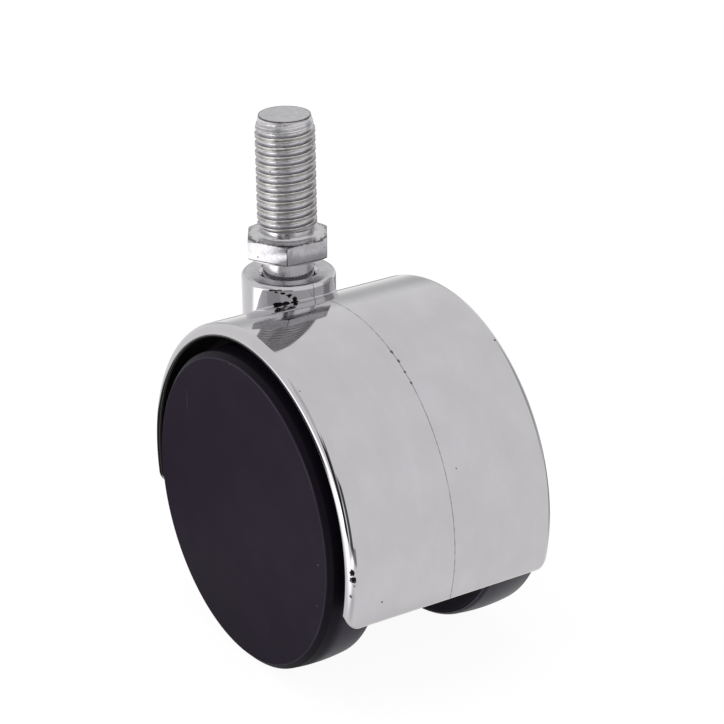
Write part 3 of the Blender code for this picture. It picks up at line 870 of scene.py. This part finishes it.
def wheel_outline():
    """Half section of a wheel: radius, and distance in from its outer face."""
    edge_radius = WHEEL_RADIUS - TREAD_CROWN
    right = math.pi / 2
    outline = [(WHEEL_RADIUS * share, 0.0) for share in (0.0, 0.25, 0.5, 0.75, 0.9)]
    # Flat face, a fine bright edge, a slanting shoulder and the tread
    shoulder = WHEEL_FACE_EDGE * 0.92
    face_round, tread_round = 0.00022, 0.00035
    slant = math.radians(40.0)
    outline += arc((edge_radius - shoulder - face_round * 0.2, face_round), face_round, -right, -slant)
    outline += arc((edge_radius - tread_round, WHEEL_FACE_EDGE), tread_round, -slant, 0.0)
    span = WHEEL_WIDTH - WHEEL_INNER_EDGE - WHEEL_FACE_EDGE
    steps = 12
    for step in range(1, steps):
        share = 2.0 * step / steps - 1.0
        outline.append((WHEEL_RADIUS - TREAD_CROWN * share**2, WHEEL_FACE_EDGE + span * step / steps))
    centre = (edge_radius - WHEEL_INNER_EDGE, WHEEL_WIDTH - WHEEL_INNER_EDGE)
    outline += arc(centre, WHEEL_INNER_EDGE, 0.0, right, 10)
    lip = 0.0004
    outline += arc((RIM_INSIDE + lip, WHEEL_WIDTH - lip), lip, right, math.pi, 4)
    root_height = FACE_PLATE + RIM_ROOT
    outline += arc((RIM_INSIDE - RIM_DRAFT - RIM_ROOT, root_height), RIM_ROOT, 0.0, -right)
    outline += arc((HUB_RADIUS + RIM_ROOT, root_height), RIM_ROOT, -right, -math.pi)
    hub_end = WHEEL_WIDTH + HUB_PROUD
    bead_slope = HUB_BORE - SNAP_BEAD_RADIUS
    return outline + [
        (HUB_RADIUS, hub_end - HUB_CHAMFER),
        (HUB_RADIUS - HUB_CHAMFER, hub_end),
        (HUB_BORE + HUB_CHAMFER, hub_end),
        (HUB_BORE, hub_end - HUB_CHAMFER),
        (HUB_BORE, SNAP_BEAD_PLACE + SNAP_BEAD_HALF + bead_slope),
        (SNAP_BEAD_RADIUS, SNAP_BEAD_PLACE + SNAP_BEAD_HALF),
        (SNAP_BEAD_RADIUS, SNAP_BEAD_PLACE - SNAP_BEAD_HALF),
        (HUB_BORE, SNAP_BEAD_PLACE - SNAP_BEAD_HALF - bead_slope),
        (HUB_BORE, HUB_FLOOR),
        (0.0, HUB_FLOOR),
    ]


def make_wheel(name, side, material):
    """A moulded wheel; side is -1 for the near one."""
    outer_face = side * WHEEL_OUTER_FACE + AXLE_SLIDE
    into_place = (
        Matrix.Translation(AXLE)
        @ Matrix.Translation((0.0, outer_face, 0.0))
        @ Matrix.Diagonal((1.0, -side, 1.0, 1.0))
    )
    settings = {
        "Rib Count": RIB_COUNT,
        "Inner Radius": HUB_RADIUS - RIB_OVERLAP,
        "Outer Radius": RIM_INSIDE + RIB_OVERLAP,
        "Root": FACE_PLATE - RIB_OVERLAP,
        "Top": FACE_PLATE + RIB_DEPTH,
        "Thickness": RIB_THICKNESS,
        "Draft": RIB_DRAFT,
        "Material": material,
    }
    bodies = [turned(wheel_outline(), "Y"), opened(run_tree(RIBS, settings))]
    for body in bodies:
        bmesh.ops.transform(body, matrix=into_place, verts=body.verts)
        outward(body)
    return weigh_normals(add_piece(name, bodies, material))


# Hood casting

def hood_plan(end_inset, side_inset):
    """Rows over the hood laid flat, drawn in from its outline.

    A row is its place along the outer arc, its half width and its inset.
    The four corners are rounded in plan.
    """
    length = (HOOD_BACK_ANGLE - HOOD_FRONT_ANGLE) * HOOD_OUTER
    steps = 12
    corner = []
    for step in range(steps + 1):
        turn = math.pi / 2 * step / steps
        inset = end_inset + (side_inset - end_inset) * math.sin(turn) ** 2
        radius = HOOD_CORNER_RADIUS - inset
        along = HOOD_CORNER_RADIUS - radius * math.cos(turn)
        corner.append((along, HOOD_HALF_WIDTH - HOOD_CORNER_RADIUS + radius * math.sin(turn), inset))
    count = 200
    middle = length - 2 * HOOD_CORNER_RADIUS
    between = [
        (HOOD_CORNER_RADIUS + middle * step / count, HOOD_HALF_WIDTH - side_inset, side_inset)
        for step in range(1, count)
    ]
    return corner + between + [(length - along, half, inset) for along, half, inset in reversed(corner)]


def hood_shares():
    """Where the columns lie across the hood, closer together round the stem."""
    right = [step / 17.0 for step in range(9)] + [0.53, 0.60, 0.70, 0.80, 0.90, 1.0]
    return [-share for share in reversed(right[1:])] + right


def round_axle(radius, angle, across):
    """The point at this radius and angle round the axle, and this far along it."""
    return AXLE + Vector((radius * math.cos(angle), across, radius * math.sin(angle)))


def hood_row(along, half, radius, shares):
    """Points across the hood at a place along its outer arc."""
    return [round_axle(radius, HOOD_FRONT_ANGLE + along / HOOD_OUTER, half * share) for share in shares]


def border(rows):
    """The outer points of a grid of rows, in order round it."""
    loop = list(rows[0])
    loop += [row[-1] for row in rows[1:-1]]
    loop += list(reversed(rows[-1]))
    loop += [row[0] for row in reversed(rows[1:-1])]
    return loop


def hood_shell():
    """Curved wall over the wheels: two skins joined by a rounded border."""
    shares = hood_shares()
    bm = bmesh.new()

    def add_verts(places):
        return [bm.verts.new(place) for place in places]

    def skin(end_inset, side_inset, radius):
        return [hood_row(along, half, radius, shares) for along, half, _ in hood_plan(end_inset, side_inset)]

    outer = [add_verts(row) for row in skin(HOOD_SKIRT_EDGE, HOOD_RIM_EDGE, HOOD_OUTER)]
    inner = [add_verts(row) for row in skin(HOOD_INNER_EDGE, HOOD_INNER_EDGE, HOOD_INNER)]
    removed = set()
    for row in range(len(outer) - 1):
        for column in range(len(shares) - 1):
            cell = [(row, column), (row, column + 1), (row + 1, column + 1), (row + 1, column)]
            places = [skin_verts[r][c].co for skin_verts in (outer, inner) for r, c in cell]
            near_stem = any(math.hypot(place.x, place.y) < STEM_HOLE_REACH for place in places)
            if near_stem and places[0].z > AXLE.z:
                removed.add((row, column))
                continue
            bm.faces.new([outer[r][c] for r, c in cell])
            bm.faces.new([inner[r][c] for r, c in reversed(cell)])
    # Walls of the hole for the stem; they lie inside the socket's own wall
    for row, column in removed:
        sides = [
            ((row - 1, column), (row, column), (row, column + 1)),
            ((row + 1, column), (row + 1, column + 1), (row + 1, column)),
            ((row, column - 1), (row + 1, column), (row, column)),
            ((row, column + 1), (row, column + 1), (row + 1, column + 1)),
        ]
        for neighbour, (r, c), (next_r, next_c) in sides:
            if neighbour not in removed:
                bm.faces.new((outer[next_r][next_c], outer[r][c], inner[r][c], inner[next_r][next_c]))
    # Border: the rim's round edge, the flat of the wall and the inner edge
    loops = [border(outer)]
    steps = 10
    full = hood_plan(HOOD_SKIRT_EDGE, HOOD_RIM_EDGE)
    for step in range(1, steps + 1):
        turn = math.pi / 2 * step / steps
        keep = 1.0 - math.sin(turn)
        plan = hood_plan(HOOD_SKIRT_EDGE * keep, HOOD_RIM_EDGE * keep)
        rows = [
            hood_row(along, half, HOOD_OUTER - edge * (1.0 - math.cos(turn)), shares)
            for (along, half, _), (_, _, edge) in zip(plan, full)
        ]
        loops.append(add_verts(border(rows)))
    steps = 4
    for step in range(steps):
        turn = math.pi / 2 * step / steps
        drawn = HOOD_INNER_EDGE * (1.0 - math.cos(turn))
        radius = HOOD_INNER + HOOD_INNER_EDGE * (1.0 - math.sin(turn))
        loops.append(add_verts(border(skin(drawn, drawn, radius))))
    loops.append(border(inner))
    bridge(bm, loops)
    return outward(bm)


def hood_height(x):
    """Height of the hood's outer skin above a place along X."""
    return AXLE.z + math.sqrt(HOOD_OUTER**2 - (x - AXLE.x) ** 2)


def socket_body():
    """Stem socket with its collar, whose foot follows the curve of the hood."""
    columns = 160
    low = RECESS_HEIGHT - RECESS_HALF
    high = RECESS_HEIGHT + RECESS_HALF
    slope = RECESS_RADIUS - BORE_RADIUS
    bore_and_top = [
        (0.0, BORE_FLOOR),
        (BORE_RADIUS, BORE_FLOOR),
        (BORE_RADIUS, low - slope),
        (RECESS_RADIUS, low),
        (RECESS_RADIUS, high),
        (BORE_RADIUS, high + slope),
        (BORE_RADIUS, COLLAR_TOP - BORE_MOUTH),
        (BORE_RADIUS + BORE_MOUTH, COLLAR_TOP),
        (BORE_RADIUS + BORE_MOUTH + 0.0004, COLLAR_TOP),
    ]
    centre = (SOCKET_RADIUS - COLLAR_EDGE, COLLAR_TOP - COLLAR_EDGE)
    bore_and_top += arc(centre, COLLAR_EDGE, math.pi / 2, 0.0, 10)
    foot = [(SOCKET_RADIUS, SOCKET_FOOT + SOCKET_FOOT_EDGE + 0.001)]
    centre = (SOCKET_RADIUS - SOCKET_FOOT_EDGE, SOCKET_FOOT + SOCKET_FOOT_EDGE)
    foot += arc(centre, SOCKET_FOOT_EDGE, 0.0, -math.pi / 2)
    foot.append((0.0, SOCKET_FOOT))
    # How deep the flare's edge and the wall below it start under the hood's skin
    flare_sunk, flare_end, wall_start = 0.00001, 0.0006, 0.0012
    flare_steps = 6
    reach = SOCKET_RADIUS + COLLAR_FILLET
    rows = []
    for number in range(columns):
        angle = math.tau * number / columns
        out = Vector((math.cos(angle), math.sin(angle), 0.0))
        contact = hood_height(SOCKET_RADIUS * out.x)
        outside = hood_height(reach * out.x)
        profile = list(bore_and_top)
        for step in range(flare_steps + 1):
            share = step / flare_steps
            straight = (1.0 - share) ** 2
            turn = 2.0 * share * (1.0 - share)
            radius = (straight + turn) * SOCKET_RADIUS + share**2 * reach
            height = straight * (contact + COLLAR_FILLET) + turn * contact
            profile.append((radius, height + share**2 * (outside - flare_sunk)))
        profile += [(reach, outside - flare_end), (SOCKET_RADIUS, contact - wall_start)] + foot
        rows.append([out * radius + Vector((0.0, 0.0, height)) for radius, height in profile])
    return skinned([[row[number] for row in rows] for number in range(len(rows[0]))])


def web_body():
    """Middle web from the hood down to the axle boss, with a cast foot."""
    top = (HOOD_INNER + HOOD_OUTER) / 2
    waist = BOSS_RADIUS * math.sqrt(0.5)
    start = Vector((top * math.cos(WEB_BACK_ANGLE), top * math.sin(WEB_BACK_ANGLE)))
    end_angle = WEB_BACK_ANGLE + math.pi / 4
    end = Vector((waist * math.cos(end_angle), waist * math.sin(end_angle)))
    heights = [top, HOOD_INNER + 0.0001]
    heights += [HOOD_INNER - WEB_FOOT * (1.0 - math.cos(math.pi / 2 * step / 5)) for step in range(1, 6)]
    heights += [HOOD_INNER - WEB_FOOT - 0.001, *WEB_LOWER_ROWS]
    steps = 60
    rows = []
    for radius in heights:
        # The back edge runs straight from the hood to the boss
        share = max(0.0, min(1.0, (top - radius) / (top - waist)))
        spot = start.lerp(end, share)
        back = math.atan2(spot.y, spot.x) % math.tau
        into_foot = max(0.0, radius - (HOOD_INNER - WEB_FOOT)) / WEB_FOOT
        half = WEB_THICKNESS / 2
        if into_foot > 0.0:
            half += WEB_FOOT * (1.0 - math.sqrt(max(0.0, 1.0 - min(1.0, into_foot) ** 2)))
        edge_turn = WEB_EDGE / radius
        span = back - WEB_FRONT_ANGLE - 2 * edge_turn
        angles = [WEB_FRONT_ANGLE + edge_turn + span * step / steps for step in range(steps + 1)]
        outline = [(angle, -half) for angle in angles]
        outline += [(back, -half + WEB_EDGE), (back, half - WEB_EDGE)]
        outline += [(angle, half) for angle in reversed(angles)]
        outline += [(WEB_FRONT_ANGLE, half - WEB_EDGE), (WEB_FRONT_ANGLE, -half + WEB_EDGE)]
        rows.append([round_axle(radius, angle, across) for angle, across in outline])
    bm = skinned(rows)
    for row in (rows[0], rows[-1]):
        bm.faces.new([min(bm.verts, key=lambda vert: (vert.co - place).length_squared) for place in row])
    return outward(bm)


def boss_body():
    """Tube that the axle pin runs through."""
    outline = [
        (AXLE_BORE, BOSS_HALF_LENGTH - BOSS_CHAMFER),
        (AXLE_BORE + BOSS_CHAMFER, BOSS_HALF_LENGTH),
        (BOSS_RADIUS - BOSS_CHAMFER, BOSS_HALF_LENGTH),
        (BOSS_RADIUS, BOSS_HALF_LENGTH - BOSS_CHAMFER),
    ]
    outline += [(radius, -height) for radius, height in reversed(outline)]
    bm = turned(outline, "Y", 96)
    bmesh.ops.translate(bm, vec=AXLE, verts=bm.verts)
    return bm


def make_hood(material):
    # The web ends in the socket's wall, so that the bore stays clear
    profile = [(0.0, CORE_FOOT), (CORE_RADIUS, CORE_FOOT), (CORE_RADIUS, CORE_TOP), (0.0, CORE_TOP)]
    web = cut(web_body(), turned(profile, "Z", 64))
    return weigh_normals(add_piece("hood", [hood_shell(), socket_body(), web, boss_body()], material))


# Stem

def hexagon_body():
    """Forged hexagon: a prism trimmed by a cone at both faces, its edges softened."""
    face_radius = HEX_ACROSS_FLATS / 2
    corner = face_radius / math.cos(math.pi / 6)
    slope = HEX_CHAMFER / (corner - face_radius)
    beyond = 0.0005
    reach = corner + beyond
    fall = (reach - face_radius) * slope
    cone_start = face_radius - beyond / slope
    prism = bmesh.new()
    turn = Matrix.Rotation(HEX_CORNER_ANGLE - math.pi / 2, 4, "Z")
    bmesh.ops.create_cone(
        prism,
        cap_ends=True,
        segments=6,
        radius1=corner,
        radius2=corner,
        depth=HEX_HEIGHT,
        matrix=Matrix.Translation((0.0, 0.0, -HEX_HEIGHT / 2)) @ turn,
    )
    envelope = turned(
        [
            (0.0, -HEX_HEIGHT - beyond),
            (cone_start, -HEX_HEIGHT - beyond),
            (reach, -HEX_HEIGHT + fall),
            (reach, -fall),
            (cone_start, beyond),
            (0.0, beyond),
        ],
        "Z",
        144,
    )
    block = opened(cut(prism, envelope, "INTERSECT"))
    bmesh.ops.dissolve_limit(block, angle_limit=math.radians(1.0), verts=block.verts, edges=block.edges)
    outward(block)
    sharp = [edge for edge in block.edges if edge.calc_face_angle(0.0) > math.radians(12.0)]
    bmesh.ops.bevel(
        block, geom=sharp, offset=HEX_EDGE, segments=3, profile=0.5, affect="EDGES", clamp_overlap=True
    )
    return outward(block)


def shank_body():
    """Shank below the hexagon, grooved for the snap ring."""
    low = RECESS_HEIGHT - GROOVE_HALF
    high = RECESS_HEIGHT + GROOVE_HALF
    outline = [
        (0.0, SHANK_TIP),
        (SHANK_RADIUS - SHANK_CHAMFER, SHANK_TIP),
        (SHANK_RADIUS, SHANK_TIP + SHANK_CHAMFER),
        (SHANK_RADIUS, low),
        (GROOVE_RADIUS, low),
        (GROOVE_RADIUS, high),
        (SHANK_RADIUS, high),
        (SHANK_RADIUS, -HEX_HEIGHT / 2),
        (0.0, -HEX_HEIGHT / 2),
    ]
    return turned(outline, "Z", 160)


def make_stem(material):
    settings = {
        "Facets": 160,
        "Rows": 430,
        "Crest Radius": THREAD_RADIUS,
        "Root Depth": THREAD_DEPTH,
        "Pitch": THREAD_PITCH,
        "Crest Share": THREAD_CREST_SHARE,
        "Root Share": THREAD_ROOT_SHARE,
        "Start Turn": THREAD_START_TURN,
        "Foot": -HEX_HEIGHT / 2,
        "Length": THREAD_LENGTH,
        "End Depth": THREAD_END_DEPTH,
        "End Taper": THREAD_END_TAPER,
        "Burr": 0.00003,
        "Relief Radius": RELIEF_RADIUS,
        "Relief Length": RELIEF_LENGTH,
        "Relief Foot": RELIEF_FOOT,
        "Dents": 0.00006,
        "Material": material,
    }
    bodies = [outward(opened(run_tree(thread_tree(), settings))), hexagon_body(), shank_body()]
    return add_piece("threaded_stem_piece", bodies, material, math.radians(50.0))


# Studio

def place_camera():
    """The photograph's view, from points matched on the real object."""
    azimuth = math.radians(57.0849)
    elevation = math.radians(23.1834)
    roll = math.radians(-0.8542)
    distance, shift_right, shift_up = 0.4332984, 0.0022482, 0.0185609
    focal_length, picture_width = 2764.16, 724.0  # in pixels
    flat = math.cos(elevation)
    back = Vector((math.sin(azimuth) * flat, -math.cos(azimuth) * flat, math.sin(elevation)))
    level = Vector((math.cos(azimuth), math.sin(azimuth), 0.0))
    upright = back.cross(level)
    right = math.cos(roll) * level + math.sin(roll) * upright
    up = math.cos(roll) * upright - math.sin(roll) * level
    data = bpy.data.cameras.new("view of the photograph")
    data.lens = focal_length / picture_width * data.sensor_width
    data.clip_start = 0.01
    camera = add_object("view of the photograph", data)
    place = AXLE + back * distance + right * shift_right + up * shift_up
    turn = Matrix((right, up, back)).transposed().to_4x4()
    camera.matrix_world = Matrix.Translation(place) @ turn
    bpy.context.scene.camera = camera


def aim(item, place, target):
    toward = (Vector(place) - Vector(target)).to_track_quat("Z", "Y")
    item.matrix_world = Matrix.Translation(place) @ toward.to_matrix().to_4x4()


def add_softbox(name, place, target, width, height, radiance):
    """A rectangular softbox whose face has the given brightness."""
    data = bpy.data.lights.new(name, "AREA")
    data.shape = "RECTANGLE"
    data.size = width
    data.size_y = height
    data.energy = radiance * math.pi * width * height
    item = add_object(name, data)
    aim(item, place, target)
    item.visible_camera = False
    item.visible_glossy = False


def add_glow(material, share, surface, strength):
    """Let a share of a surface glow white."""
    tree = material.node_tree
    glow = value_of(tree, "ShaderNodeEmission", {"Color": WHITE, "Strength": strength})
    mixed = value_of(tree, "ShaderNodeMixShader", {0: share, 1: surface, 2: glow})
    set_inputs(tree.nodes["Material Output"], {"Surface": mixed})


def add_sheet(name, width, depth, height, material):
    """A flat rectangle round the Z axis."""
    bm = bmesh.new()
    bmesh.ops.create_grid(bm, x_segments=1, y_segments=1, size=0.5)
    bmesh.ops.scale(bm, vec=(width, depth, 1.0), verts=bm.verts)
    bmesh.ops.translate(bm, vec=(0.0, 0.0, height), verts=bm.verts)
    mesh = plain_mesh(name, bm)
    mesh.materials.append(material)
    return add_object(name, mesh)


def add_card(name, place, target, width, height, radiance, softness):
    """A card that stands in the room only to be mirrored, its edges fading out."""
    material, spot = start_material(name)
    tree = material.node_tree
    tree.nodes.remove(tree.nodes["Principled BSDF"])
    x, y, _ = parts(spot)
    mask = remap(width / 2 - abs(x), 0.0, softness) * remap(height / 2 - abs(y), 0.0, softness)
    add_glow(material, mask, value_of(tree, "ShaderNodeBsdfTransparent"), radiance)
    item = add_sheet(name, width, height, 0.0, material)
    aim(item, place, target)
    item.visible_camera = False
    item.visible_diffuse = False
    item.visible_transmission = False
    item.visible_shadow = False


def direction(azimuth, elevation):
    """Unit vector; azimuth in degrees from +X towards -Y, elevation above the floor."""
    azimuth, elevation = math.radians(azimuth), math.radians(elevation)
    flat = math.cos(elevation)
    return Vector((math.cos(azimuth) * flat, -math.sin(azimuth) * flat, math.sin(elevation)))


def seen_by(tree, *kinds):
    """1 for these kinds of ray, 0 for any other."""
    path = tree.nodes.new("ShaderNodeLightPath")
    return highest(*(Value(path.outputs[f"Is {kind} Ray"]) for kind in kinds))


def white_room():
    """World and floor: plain white to the camera and to mirrors, softer as light."""
    world = bpy.data.worlds.new("white room")
    bpy.context.scene.world = world
    world.use_nodes = True
    seen = seen_by(world.node_tree, "Camera", "Glossy", "Transmission")
    set_inputs(world.node_tree.nodes["Background"], {"Color": WHITE, "Strength": blend_values(seen, 0.62, 1.0)})

    material, spot = start_material("white floor")
    tree = material.node_tree
    shader = tree.nodes["Principled BSDF"]
    set_inputs(shader, {"Base Color": (0.86, 0.86, 0.86), "Roughness": 0.9, "Specular IOR Level": 0.0})
    # Right beside the wheels mirrors still see the shadow on the floor
    away = vector_math("DISTANCE", spot, (AXLE.x, 0.0, FLOOR_HEIGHT))
    mirrored = seen_by(tree, "Glossy", "Transmission") * remap(away, 0.022, 0.045, 0.4, 1.0)
    to_camera = seen_by(tree, "Camera")
    share = calculate("MULTIPLY_ADD", to_camera, 0.90, mirrored, clamp=True)
    add_glow(material, share, Value(shader.outputs[0]), to_camera * 0.05 + 1.0)
    floor = add_sheet("floor", 8.0, 8.0, FLOOR_HEIGHT, material)


def light_studio():
    """Softboxes from the left and above, and the cards that the plating mirrors."""
    centre = Vector((0.012, 0.0, -0.03))
    add_softbox("left softbox", centre + direction(110, 35) * 0.6, centre, 0.50, 0.40, 1.0)
    add_softbox("overhead softbox", centre + direction(60, 80) * 0.7, centre, 0.6, 0.6, 1.0)
    rim = Vector((0.044, -0.018, -0.030))
    # Upright flags: place along the floor, height of foot and top, width, brightness, soft edge
    for name, azimuth, distance, start, top, width, radiance, softness in (
        ("black flag", 78.0, 0.115, 0.000, 0.108, 0.064, 0.02, 0.007),
        ("tall grey flag", 65.0, 0.112, 0.045, 0.150, 0.040, 0.13, 0.012),
        ("dark front flag", 37.0, 0.125, 0.000, 0.106, 0.074, 0.10, 0.008),
        ("pale side flag", 97.0, 0.300, 0.120, 0.420, 0.220, 0.74, 0.040),
        ("grey flag behind", -87.0, 0.300, 0.000, 0.240, 0.240, 0.50, 0.040),
        ("grey flag at the back", -151.1, 0.347, 0.000, 0.190, 0.360, 0.66, 0.090),
    ):
        place = rim + direction(azimuth, 0.0) * distance
        place.z = FLOOR_HEIGHT + (start + top) / 2
        add_card(name, place, (rim.x, rim.y, place.z), width, top - start, radiance, softness)
    # Sweeps lying on the floor, each a little above the last: centre, size, brightness, soft edge
    low = FLOOR_HEIGHT + 0.0003
    for name, x, y, width, depth, radiance, softness in (
        ("grey sweep in front", 0.185, -0.085, 0.140, 0.170, 0.32, 0.020),
        ("bright sweep at the left", -0.012, -0.205, 0.170, 0.330, 2.2, 0.030),
        ("brightest sweep at the left", -0.002, -0.187, 0.110, 0.064, 3.6, 0.022),
        ("bright sweep in front", 0.094, -0.080, 0.080, 0.045, 1.9, 0.012),
        ("grey sweep behind", -0.070, 0.140, 0.300, 0.200, 0.35, 0.040),
        ("dark sweep at the back", -0.060, -0.010, 0.070, 0.140, 0.03, 0.012),
        ("grey sweep by the rim", 0.058, -0.040, 0.040, 0.036, 0.75, 0.017),
    ):
        add_card(name, (x, y, low), (x, y, 1.0), width, depth, radiance, softness)
        low += 0.0001


# Assembly

bpy.context.scene.view_settings.view_transform = "Standard"
SCRATCH = bpy.data.materials.new("scratch")
RIBS = ribs_tree()

place_camera()
white_room()
light_studio()

chrome = chrome_material()
zinc = zinc_material()
nylon = nylon_material()

hood = make_hood(chrome)
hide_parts("hood_casting")
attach(hood, "hood_unit")

stem = make_stem(zinc)
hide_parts("stem")
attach(stem, "stem_unit")

for name, node, body, side in (
    ("near_wheel_piece", "wheel_near", "near_wheel", -1),
    ("far_wheel_piece", "wheel_far", "far_wheel", 1),
):
    wheel = make_wheel(name, side, nylon)
    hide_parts(node)
    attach(wheel, body)

frame["nodes"]["axle_pin"].data.materials[0] = bright_steel_material()
frame["nodes"]["stem_snap_ring"].data.materials[0] = spring_steel_material()
